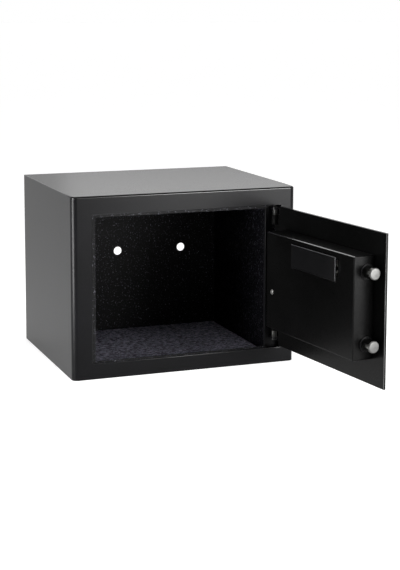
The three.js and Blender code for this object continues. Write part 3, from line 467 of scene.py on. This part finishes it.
def eased(profile, radius, steps=3):
    """The profile with each corner between its ends turned into an arc that starts up to radius from it.

    An arc is the curve (1-t)^2 a + 2t(1-t) corner + t^2 b between the two points where it starts."""
    profile = np.asarray(profile, float)
    longest_share = 0.45
    out = [profile[0]]
    for before, corner, after in zip(profile[:-2], profile[1:-1], profile[2:]):
        back, ahead = before - corner, after - corner
        back_length, ahead_length = np.linalg.norm(back), np.linalg.norm(ahead)
        reach = min(radius, longest_share * back_length, longest_share * ahead_length)
        a = corner + back / back_length * reach
        b = corner + ahead / ahead_length * reach
        for t in np.linspace(0, 1, steps + 1):
            out.append((1 - t) ** 2 * a + 2 * t * (1 - t) * corner + t**2 * b)
    out.append(profile[-1])
    return np.array(out)


def turned_piece(name, profile, axis, centre, finishes, body, nodes=(), on_door=True, sides=72, bands=None):
    """A surface of revolution: at angle a, profile step (r, d) lies r off the axis line and d along it.

    bands gives the finish of each profile step; a closed profile has equal ends off the axis."""
    profile = np.asarray(profile, float)
    steps = len(profile)
    angle = np.linspace(0, 2 * pi, sides, endpoint=False)
    radius, along = profile[:, 0], profile[:, 1]
    one, two = np.outer(radius, np.cos(angle)), np.outer(radius, np.sin(angle))
    far = np.repeat(along[:, None], sides, 1)
    order = {"x": (far, one, two), "y": (two, far, one), "z": (one, two, far)}[axis]
    points = np.stack(order, -1).reshape(-1, 3) + np.asarray(centre, float)
    row, side = np.meshgrid(np.arange(steps - 1), np.arange(sides), indexing="ij")
    here, ahead = row * sides + side, row * sides + (side + 1) % sides
    quads = np.stack((here, ahead, ahead + sides, here + sides), -1).reshape(-1, 4)
    # The map runs along the profile in metres, and round the piece as if it were 0.05 metres round
    map_round = 0.05
    travelled = np.concatenate(([0], np.cumsum(np.linalg.norm(np.diff(profile, axis=0), axis=1)))) * MM
    turn = np.stack((side, side + 1, side + 1, side), -1).reshape(-1, 4) / sides * map_round
    length = np.stack((row, row, row + 1, row + 1), -1).reshape(-1, 4)
    uv = np.stack((turn, travelled[length]), -1)
    finish = None if bands is None else np.asarray(bands)[row.reshape(-1)]
    if on_door:
        points = swung(points)
    return shape(name, points, quads.tolist(), finishes, body, nodes, finish, uv.reshape(-1, 2))


def soft_box(x, y, z, radius, steps=3, flat_steps=5):
    """Points and faces of a block with rounded edges.

    Six grids cover the block. Each grid point is pulled to the inner block, shrunk by the radius,
    and pushed out again from there by the radius along the line between the two. A rounded edge has
    2 * steps rows of faces, and a flat face flat_steps."""
    low, high = np.array([x[0], y[0], z[0]], float), np.array([x[1], y[1], z[1]], float)
    centre, half = (low + high) / 2, (high - low) / 2
    points, faces = [], []
    for axis in range(3):
        u_axis, v_axis = [(1, 2), (2, 0), (0, 1)][axis]
        lines = []
        for other in (u_axis, v_axis):
            edge = half[other] - radius + radius * np.tan(np.linspace(0, pi / 4, steps + 1))
            flat = np.linspace(-edge[0], edge[0], flat_steps + 1)[1:-1]
            lines.append(np.concatenate((-edge[::-1], flat, edge)))
        for side in (-1, 1):
            u, v = np.meshgrid(*lines, indexing="ij")
            grid = np.zeros(u.shape + (3,))
            grid[..., u_axis], grid[..., v_axis], grid[..., axis] = u, v, side * half[axis]
            inner = np.clip(grid, radius - half, half - radius)
            away = grid - inner
            grid = inner + radius * away / np.linalg.norm(away, axis=-1, keepdims=True)
            n, m = u.shape
            row, col = np.meshgrid(np.arange(n - 1), np.arange(m - 1), indexing="ij")
            first = len(points) + row * m + col
            quad = np.stack((first, first + m, first + m + 1, first + 1), -1).reshape(-1, 4)
            faces += (quad if side > 0 else quad[:, ::-1]).tolist()
            points += (grid + centre).reshape(-1, 3).tolist()
    return np.array(points), faces


def settled(piece):
    """Makes the rounded edges of a piece part of its mesh, which it returns."""
    scene.view_layers[0].update()
    graph = bpy.context.evaluated_depsgraph_get()
    mesh = bpy.data.meshes.new_from_object(
        piece.evaluated_get(graph), preserve_all_data_layers=True, depsgraph=graph
    )
    piece.modifiers.clear()
    piece.data = mesh
    return mesh


def painted_light_edges(piece, finish, rule):
    """Gives a finish to the faces of a door piece that lie askew to the door, where the rule picks them.

    The rule reads the middle, in millimetres, and the normal of a face in the door's closed place."""
    # The finish given here is painted light: a painted highlight or painted shade on the piece's edges and
    # bends
    mesh = settled(piece)
    mesh.materials.append(FINISH[finish])
    painted_light_index, square_on = len(mesh.materials) - 1, 0.99
    back = Matrix.Rotation(-DOOR_ANGLE, 3, "Z")
    for face in mesh.polygons:
        normal = back @ face.normal
        askew = max(map(abs, normal)) < square_on
        if askew and rule(closed(face.center / MM), normal):
            face.material_index = painted_light_index


def refined(node, finish, edge, painted_highlight=None, pierced=False, bend=None):
    """A merged copy of a part's solid, with whole flat faces and its edges rounded by edge millimetres.

    Its rounded edges can take a finish of their own, a lighter and shinier coat that is a painted highlight.
    A pierced piece has its faces cut in triangles again, because one outline round many holes folds over
    itself. A bend is a rule that picks the points of an edge, and the radius of its wider arc."""
    corner_angle, flat_angle, touching = radians(50), radians(0.3), 2e-6
    source = frame["nodes"][node]
    mesh = source.data.copy()
    mesh.name = node + "_skin"
    work = bmesh.new()
    work.from_mesh(mesh)
    bmesh.ops.remove_doubles(work, verts=work.verts, dist=touching)
    bmesh.ops.dissolve_limit(work, angle_limit=flat_angle, verts=work.verts, edges=work.edges)
    bmesh.ops.dissolve_degenerate(work, dist=touching, edges=work.edges)
    if pierced:
        bmesh.ops.triangulate(work, faces=work.faces)
    if bend:
        picked, radius = bend
        line = [side for side in work.edges if all(picked(corner.co / MM) for corner in side.verts)]
        bmesh.ops.bevel(work, geom=line, offset=radius * MM, segments=6, profile=0.5, affect="EDGES")
    work.to_mesh(mesh)
    work.free()
    mesh.materials.clear()
    mesh.materials.append(FINISH[finish])
    mesh.polygons.foreach_set("material_index", np.zeros(len(mesh.polygons), np.int32))
    mesh.polygons.foreach_set("use_smooth", np.ones(len(mesh.polygons), bool))
    mesh.set_sharp_from_angle(angle=corner_angle)
    if painted_highlight:
        mesh.materials.append(FINISH[painted_highlight])
    piece = bpy.data.objects.new(mesh.name, mesh)
    scene.collection.objects.link(piece)
    if edge:
        bevel = piece.modifiers.new("rounded_edges", "BEVEL")
        bevel.width = edge * MM
        bevel.segments = 2
        bevel.limit_method = "ANGLE"
        bevel.angle_limit = corner_angle
        bevel.use_clamp_overlap = False
        bevel.harden_normals = True
        bevel.miter_outer = "MITER_ARC"
        # The rounded edges take the second finish where one is given, a painted highlight
        bevel.material = 1 if painted_highlight else -1
    # The large faces keep their own direction, so that only the rounded edges shade softly
    weighted = piece.modifiers.new("flat_faces_kept", "WEIGHTED_NORMAL")
    weighted.mode = "FACE_AREA"
    weighted.weight = 100
    weighted.keep_sharp = True
    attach(piece, source["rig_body"])
    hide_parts(node)
    return piece


# Body
def on_roof_front(at):
    """Whether a point lies on the roof's front edge, its two rounded corners included."""
    slack = 0.1
    return at.y < FRONT + CORNER_RADIUS + slack and at.z > BODY_HEIGHT - slack


def make_coated_sheet(node, edge, bend=None):
    """A bent sheet of the body: satin outside, textured inside, with a painted highlight along its rounded
    edges.

    The roof's front bend has a painted highlight where it is steep, and painted shade, a dull matt coat,
    where it meets the roof."""
    piece = refined(node, "body_coat", edge, painted_highlight="painted_highlight_coat", bend=bend)
    piece.data.materials.append(FINISH["inner_coat"])
    piece.data.materials.append(FINISH["matt_painted_shade_coat"])
    satin, painted_highlight, textured, matt = range(4)
    middle = Vector((0, 0, BODY_HEIGHT / 2))
    inner_share, bend_reach = 0.75, ROOF_BEND + 0.7
    upright, level, steep_below = 0.02, 0.98, 0.25
    for face in piece.data.polygons:
        x, y, z = at = face.center / MM
        depth = min(HALF_WIDTH - abs(x), y - FRONT, BACK - y, z, BODY_HEIGHT - z)
        inside = depth > inner_share * SHEET and face.normal.dot(middle - at) > 0
        face.material_index = textured if inside else satin
        # Painted light on the roof's front bend: its steep faces take the painted highlight, and those next
        # to the roof take the dull matt coat as painted shade
        askew, steep = upright < face.normal.z < level, face.normal.z < steep_below
        if askew and z > BODY_HEIGHT - bend_reach and y < FRONT + bend_reach:
            face.material_index = painted_highlight if steep else matt
    mesh = settled(piece)
    points = np.empty(3 * len(mesh.vertices), np.float32)
    mesh.vertices.foreach_get("co", points)
    # Where the roof's bend runs out, its small rounding would stand a hair above the roof
    points[2::3] = np.minimum(points[2::3], BODY_HEIGHT * MM)
    mesh.vertices.foreach_set("co", points)


def make_body():
    """Bent shell and back panel, with the textured lip and liner and the strip that carries the hinge."""
    make_coated_sheet("body_shell", edge=0.45, bend=(on_roof_front, ROOF_BEND))
    make_coated_sheet("back_panel", edge=0.3)
    refined("stop_frame", "inner_coat", edge=0.3)
    # The liner's duller coat is painted shade
    refined("side_liner", "liner_coat", edge=0.2)
    refined("hinge_strip", "body_coat", edge=0.3)
    refined("hinge_lug_upper", "body_coat", edge=0.25)
    refined("hinge_lug_lower", "body_coat", edge=0.25)


def make_hinge_pins():
    """Headed pins fixed in the lugs, and the plain tube that the lower knuckle rides on."""
    at = (HINGE_X, HINGE_Y, 0)
    upper_end, upper_seat, lower_seat, lower_end = 197.3, 221.5, 33.0, 58.5
    upper = rod((PIN_RADIUS, upper_end, upper_seat), (PIN_HEAD_RADIUS, upper_seat, upper_seat + PIN_HEAD))
    lower = rod((PIN_HEAD_RADIUS, lower_seat - PIN_HEAD, lower_seat), (PIN_RADIUS, lower_seat, lower_end))
    for name, pin in {"upper": upper, "lower": lower}.items():
        turned_piece(f"hinge_pin_{name}_steel", eased(pin, radius=0.5), "z", at, ["oiled"], "safe",
                     [f"hinge_pin_{name}"], on_door=False)
    spacer_low, spacer_high, spacer_wall = 36.0, 44.7, 1.0
    spacer = tube(PIN_BORE, (PIN_BORE + spacer_wall, spacer_low, spacer_high), seam=0.6)
    turned_piece("hinge_spacer_tube", eased(spacer, radius=0.25), "z", at, ["oiled"], "safe",
                 ["hinge_spacer"], on_door=False)


def make_floor_mat():
    """Felt cut to the floor: a slab whose top ripples by crossed waves and rounds off at its rim.

    One wave is sin(x) times sin(y), the other sin(x + y), each with a length of its own along x and y."""
    (x0, x1), (y0, y1), (z0, z1) = MAT_X, MAT_Y, MAT_Z
    rim_width, rim_drop, calm_width, nap, lift = 2.0, 1.1, 8, 0.25, 0.02
    slow, slow_x, slow_y, slow_start = 0.14, 17, 13, 1.3
    quick, quick_x, quick_y = 0.1, 7.1, 9.3
    # The grid has n points along x and m along y
    n, m = 121, 93
    u, v = np.meshgrid(np.linspace(0, 1, n), np.linspace(0, 1, m), indexing="ij")
    x, y = x0 + (x1 - x0) * u, y0 + (y1 - y0) * v
    rim = np.minimum(np.minimum(x - x0, x1 - x), np.minimum(y - y0, y1 - y))
    fall = 1 - np.clip(rim / rim_width, 0, 1)
    wave = slow * np.sin(x / slow_x + slow_start) * np.sin(y / slow_y)
    wave += quick * np.sin(x / quick_x + y / quick_y)
    top = z1 - nap + wave * np.clip(rim / calm_width, 0, 1) - rim_drop * fall**2
    low = np.full_like(top, z0 + lift)
    points = np.concatenate([np.stack((x, y, z), -1).reshape(-1, 3) for z in (top, low)])
    row, col = np.meshgrid(np.arange(n - 1), np.arange(m - 1), indexing="ij")
    first = (row * m + col).reshape(-1)
    upper = np.stack((first, first + m, first + m + 1, first + 1), -1)
    under = upper[:, ::-1] + n * m
    # The points round the mat, one side after the other
    sides = (
        np.arange(n) * m,
        (n - 1) * m + np.arange(1, m),
        np.arange(n - 2, -1, -1) * m + m - 1,
        np.arange(m - 2, 0, -1),
    )
    ring = np.concatenate(sides)
    ahead = np.roll(ring, -1)
    wall = np.stack((ring + n * m, ahead + n * m, ahead, ring), -1)
    faces = np.concatenate((upper, under, wall)).tolist()
    mat = shape("floor_mat_felt", points, faces, ["felt"], "safe", ["floor_mat"])


make_body()
make_hinge_pins()
make_floor_mat()


# Door, lock cover and the lock
def make_door():
    """Door plate with a painted highlight along its edges on its inner side."""
    edge, reach_share = 0.4, 1.5
    plate = refined("door_plate", "door_coat", edge)
    painted_light_edges(plate, "painted_glint_coat", lambda middle, normal: middle.y > PLATE_INNER - reach_share * edge)


def make_lock_cover():
    """Bent cover with a painted highlight on the bends along its face that face up, and painted shade on
    those that face down.
    """
    bends, tilt = COVER_FACE - 4, 0.3
    cover = refined("lock_cover", "door_coat", edge=0.25)
    # Painted highlight on the bends that face up, painted shade on those that face down
    painted_light_edges(cover, "painted_glint_coat", lambda middle, normal: normal.z > tilt and middle.y > bends)
    painted_light_edges(cover, "matt_painted_shade_coat", lambda middle, normal: normal.z < -tilt and middle.y > bends)


def make_plain_door_pieces():
    """The pieces of the lock and the panel that only need their finish and their rounded edges."""
    refined("cover_tab_outer", "door_coat", edge=0.2)
    refined("cover_tab_inner", "door_coat", edge=0.2)
    refined("cover_screw_outer", "zinc", edge=0.12)
    refined("cover_screw_inner", "zinc", edge=0.12)
    refined("bolt_carrier", "zinc", edge=0.2)
    refined("solenoid_body", "zinc", edge=0.4)
    refined("battery_tray", "black_abs", edge=0.25)
    refined("battery_contact_free", "bronze", edge=0.15)
    refined("battery_contact_hinge", "bronze", edge=0.15)
    refined("keypad_housing", "black_abs", edge=0.3, pierced=True)
    refined("keypad_board", "board", edge=0)
    refined("ribbon_cable", "ribbon", edge=0.2)
    refined("spindle_crank", "zinc", edge=0.2)
    refined("knob", "black_abs", edge=0.3)
    refined("lock_plug", "brass", edge=0.12)
    refined("keyhole_shutter", "chrome", edge=0.25)


def make_knuckles():
    """Two short tubes on the door that turn on the pins."""
    wall = 1.75
    for name, (low, high) in {"upper": (197.0, 210.8), "lower": (45.0, 58.8)}.items():
        barrel = tube(PIN_BORE, (PIN_BORE + wall, low, high), seam=2)
        turned_piece(f"door_knuckle_{name}_tube", eased(barrel, radius=0.35), "z", (HINGE_X, HINGE_Y, 0),
                     ["matt_painted_shade_coat"], "door", [f"door_knuckle_{name}"])


def make_bolts():
    """Round bolts with a turned end and a polished rod, each in a plastic bush in the cover's wall."""
    tip, shoulder, tail, tail_radius, chamfer = -125.5, -72.3, -69.0, 4.0, 1.0
    face, flange, sleeve_end = COVER_LEFT - 0.3, 1.5, COVER_LEFT + 4.2
    flange_radius, sleeve_radius = 10.0, 9.2
    body = rod((BOLT_RADIUS, tip + chamfer, shoulder), (tail_radius, shoulder, tail))
    profile = eased([(0, tip), (BOLT_RADIUS - chamfer, tip)] + body[1:], radius=0.3)
    polished_from = tip + 1.2 * chamfer
    polished = [int(place > polished_from) for place in profile[:-1, 1]]
    ring = tube(BOLT_BORE, (flange_radius, face - flange, face), (sleeve_radius, face, sleeve_end), seam=2.5)
    for name, z in BOLT_Z.items():
        at = (0, BOLT_Y, z)
        turned_piece(f"bolt_{name}_rod", profile, "x", at, ["turned", "polished"], "bolt_work",
                     [f"bolt_{name}"], bands=polished)
        turned_piece(f"bolt_bush_{name}_ring", eased(ring, radius=0.3), "x", at, ["black_abs"], "door",
                     [f"bolt_bush_{name}"])


def make_guides():
    """Shouldered guide pins that the carrier's slots run on."""
    foot, neck_low, neck_high, top = -126.7, -123.3, -120.7, -118.7
    head, neck = 5, 2.5
    pin = rod((head, foot, neck_low), (neck, neck_low, neck_high), (head, neck_high, top))
    for name, (x, z) in GUIDE_PLACE.items():
        turned_piece(f"guide_pin_{name}_steel", eased(pin, radius=0.3), "y", (x, 0, z), ["zinc"], "door",
                     [f"guide_pin_{name}"], sides=40)


def make_plunger():
    """The solenoid's plunger with its collar."""
    tip, collar_low, collar_high, top = 122.4, 123.6, 125.1, 144.0
    radius, collar = 3, 4.6
    profile = rod((radius, tip, collar_low), (collar, collar_low, collar_high), (radius, collar_high, top))
    turned_piece("solenoid_plunger_steel", eased(profile, radius=0.25), "z", (SOLENOID_X, SOLENOID_Y, 0),
                 ["turned"], "plunger", ["solenoid_plunger"], sides=48)


def make_plunger_spring():
    """Wire wound between the plunger's collar and the solenoid: a circle that follows a helix."""
    turns, turn_steps, wire_sides = 6, 28, 8
    wire, coil, low, high, anchor = 0.25, 3.75, 125.65, 131.55, 131.8
    t = np.linspace(0, 1, turns * turn_steps + 1)
    a = 2 * pi * turns * t
    centre = np.stack((coil * np.cos(a), coil * np.sin(a), low + (high - low) * t), -1)
    outward = np.stack((np.cos(a), np.sin(a), 0 * a), -1)
    section = np.linspace(0, 2 * pi, wire_sides, endpoint=False)
    around = wire * np.cos(section)[None, :, None] * outward[:, None]
    along = wire * np.sin(section)[None, :, None] * np.array([0, 0, 1.0])
    points = (centre[:, None] + around + along).reshape(-1, 3) + (SOLENOID_X, SOLENOID_Y, 0)
    rows, ring = len(t), len(section)
    row, side = np.meshgrid(np.arange(rows - 1), np.arange(ring), indexing="ij")
    here, ahead = row * ring + side, row * ring + (side + 1) % ring
    faces = np.stack((here, ahead, ahead + ring, here + ring), -1).reshape(-1, 4).tolist()
    faces += [list(range(ring)), list(range((rows - 1) * ring, rows * ring))]
    spring = shape("solenoid_spring_wire", swung(points), faces, ["zinc"], "door", ["solenoid_spring"])
    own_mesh(spring)


def make_batteries():
    """Dry cells in plain sleeves: a crimped shoulder, a raised pole at one end and a flat one opposite."""
    flat_radius, shoulder_radius, sleeved_radius = 6.4, 6.3, 6.9
    foot, lap, shoulder_low, shoulder_high = 0.5, 2, 1.3, 0.1
    for number in range(1, 5):
        low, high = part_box(f"battery_{number}")
        x, y, z = closed((np.array(low) + np.array(high)) / 2 / MM)
        start = x - (CELL_LENGTH + POLE_LENGTH) / 2
        end = start + CELL_LENGTH
        cell = [
            (0, start), (flat_radius, start), (CELL_RADIUS, start + foot), (CELL_RADIUS, start + lap),
            (CELL_RADIUS, end - shoulder_low), (shoulder_radius, end - shoulder_high), (POLE_RADIUS, end),
            (POLE_RADIUS, end + POLE_LENGTH), (0, end + POLE_LENGTH),
        ]
        profile = eased(cell, radius=0.25, steps=2)
        widest = np.maximum(profile[:-1, 0], profile[1:, 0])
        sleeved = (widest > sleeved_radius).astype(int)
        turned_piece(f"battery_{number}_cell", profile, "x", (0, y, z), ["zinc", "sleeve"], "door",
                     [f"battery_{number}"], sides=48, bands=sleeved)


def make_battery_cover():
    """Flat moulded lid with softly rounded edges, and a painted highlight on its outer edges that do not
    face down.
    """
    points, faces = soft_box(LID_X, LID_Y, LID_Z, LID_EDGE)
    lid = shape("battery_cover_lid", swung(points), faces, ["black_abs"], "battery_door", ["battery_cover"])
    half_way, tilt = sum(LID_Y) / 2, 0.3
    # Painted highlight on the lid's outer edges that do not face down
    painted_light_edges(lid, "painted_highlight_abs", lambda middle, normal: normal.z > -tilt and middle.y > half_way)


def make_reset_button():
    """Domed push button over a stem."""
    x, z = 93.6, 110.4
    stem_radius, stem_low, head_low, radius, rise = 2, -115.8, -100.8, 3.4, 1.2
    stem = [(0, stem_low), (stem_radius, stem_low), (stem_radius, head_low), (radius, head_low)]
    profile = stem + dome(radius, COVER_FACE, rise, steps=9)
    turned_piece("reset_button_dome", profile, "y", (x, 0, z), ["pale_abs"], "reset",
                 ["reset_button"], sides=48)


def make_control_board():
    """The board's copy, with what stands on it in the dark finish of moulded chips."""
    past_board = PLATE_INNER + 5.1
    board = refined("control_board", "board", edge=0)
    board.data.materials.append(FINISH["chips"])
    for face in board.data.polygons:
        if closed(face.center / MM).y > past_board:
            face.material_index = 1


def dished(across, up):
    """Depth of a key's dish, which falls off with the square of the distance from the key's middle."""
    return DISH_DEPTH * np.clip(1 - (np.hypot(across, up) / DISH_RADIUS) ** 2, 0, 1)


def printed(sign):
    """Points in millimetres and faces of a plain printed sign about its own middle."""
    text = bpy.data.curves.new("sign", "FONT")
    text.body, text.size, text.align_x, text.align_y = sign, SIGN_SIZE, "CENTER", "CENTER"
    text.extrude = INK_DEPTH
    source = bpy.data.objects.new("sign", text)
    scene.collection.objects.link(source)
    bpy.context.view_layer.update()
    mesh = bpy.data.meshes.new_from_object(source.evaluated_get(bpy.context.evaluated_depsgraph_get()))
    points = np.array([corner.co for corner in mesh.vertices], float).reshape(-1, 3)
    faces = [list(face.vertices) for face in mesh.polygons]
    bpy.data.objects.remove(source)
    bpy.data.curves.remove(text)
    bpy.data.meshes.remove(mesh)
    points[:, :2] -= (points[:, :2].min(0) + points[:, :2].max(0)) / 2
    return points, faces


def make_keys():
    """Silicone keys with dished tops and plain printed signs."""
    names = "1 2 3 4 5 6 7 8 9 a 0 b".split()
    front, half, slack = PANEL_FACE - KEY_PROUD, KEY_SIZE / 2, 0.1
    for index, (sign, name) in enumerate(zip("123456789*0#", names)):
        x, z = KEY_X[index % 3], KEY_Z[index // 3]
        spans = (x - half, x + half), (front, front + KEY_DEPTH), (z - half, z + half)
        points, faces = soft_box(*spans, KEY_EDGE)
        on_top = points[:, 1] < front + slack
        points[:, 1] += np.where(on_top, dished(points[:, 0] - x, points[:, 2] - z), 0)
        shape(f"key_{name}_cap", swung(points), faces, ["rubber"], f"cap_{name}", [f"key_{name}"])
        flat, outline = printed(sign)
        across, up, out = flat.T
        placed = np.column_stack((x + across, front - INK_LIFT + dished(across, up) - out, z + up))
        shape(f"key_{name}_sign", swung(placed), outline, ["ink"], f"cap_{name}")


def make_lenses():
    """Domes of the three indicator lamps, over the lenses of the keypad's board."""
    radius, sunk, rim, rise = 1.7, PANEL_FACE + 0.3, PANEL_FACE - 0.1, -0.7
    profile = [(0, sunk), (radius, sunk)] + dome(radius, rim, rise, steps=7)
    for x, finish in zip(KEY_X, ("lens_green", "lens_amber", "lens_red")):
        turned_piece(f"indicator_{finish}", profile, "y", (x, 0, LED_Z), [finish], "door", sides=32)


def make_lock_cylinder():
    """Barrel of the key lock with its thin front flange."""
    face, end, flange, flange_radius = PANEL_FACE - 1.1, PLATE_INNER + 14, 0.8, 10.5
    barrel_radius, bore = 8.5, 5.75
    barrel = tube(bore, (flange_radius, face, face + flange), (barrel_radius, face + flange, end), seam=4)
    turned_piece("lock_cylinder_barrel", eased(barrel, radius=0.25), "y", (CYLINDER_X, 0, CYLINDER_Z),
                 ["chrome"], "door", ["lock_cylinder"])


make_door()
make_lock_cover()
make_plain_door_pieces()
make_knuckles()
make_bolts()
make_guides()
make_plunger()
make_plunger_spring()
make_batteries()
make_battery_cover()
make_reset_button()
make_control_board()
make_keys()
make_lenses()
make_lock_cylinder()


# Floor and surroundings
def make_floor():
    """Pale matt floor lit from beneath as well, so that shadows on it stay pale."""
    far = 30
    mesh = bpy.data.meshes.new("studio_floor")
    mesh.from_pydata([(-far, -far, 0), (far, -far, 0), (far, far, 0), (-far, far, 0)], [], [(0, 1, 2, 3)])
    floor = bpy.data.objects.new("studio_floor", mesh)
    material, tree, shader, where = begin(
        "opal_acrylic_floor", Roughness=0.9, Emission_Color=linear("#ffffff"), Emission_Strength=0.68
    )
    cloud = grain(tree, where.outputs["Object"], size=400.0)
    tinted(tree, cloud, "#c2c2c2", "#c4c4c4", shader.inputs["Base Color"])
    mesh.materials.append(material)
    scene.collection.objects.link(floor)


def make_surroundings():
    """White walls behind the object and a dimmer room in front of it."""
    world = bpy.data.worlds.new("studio")
    world.use_nodes = True
    tree = world.node_tree
    direction = add(tree, "ShaderNodeTexCoord").outputs["Generated"]
    toward = add(tree, "ShaderNodeVectorMath", {0: direction, 1: AWAY}, operation="DOT_PRODUCT")
    dim, bright = 0.25, 1.0
    background = tree.nodes["Background"]
    background.inputs["Color"].default_value = linear("#ffffff")
    ranged(tree, toward.outputs["Value"], dim, bright, background.inputs["Strength"], start=0.0, stop=0.5)
    scene.world = world


make_floor()
make_surroundings()
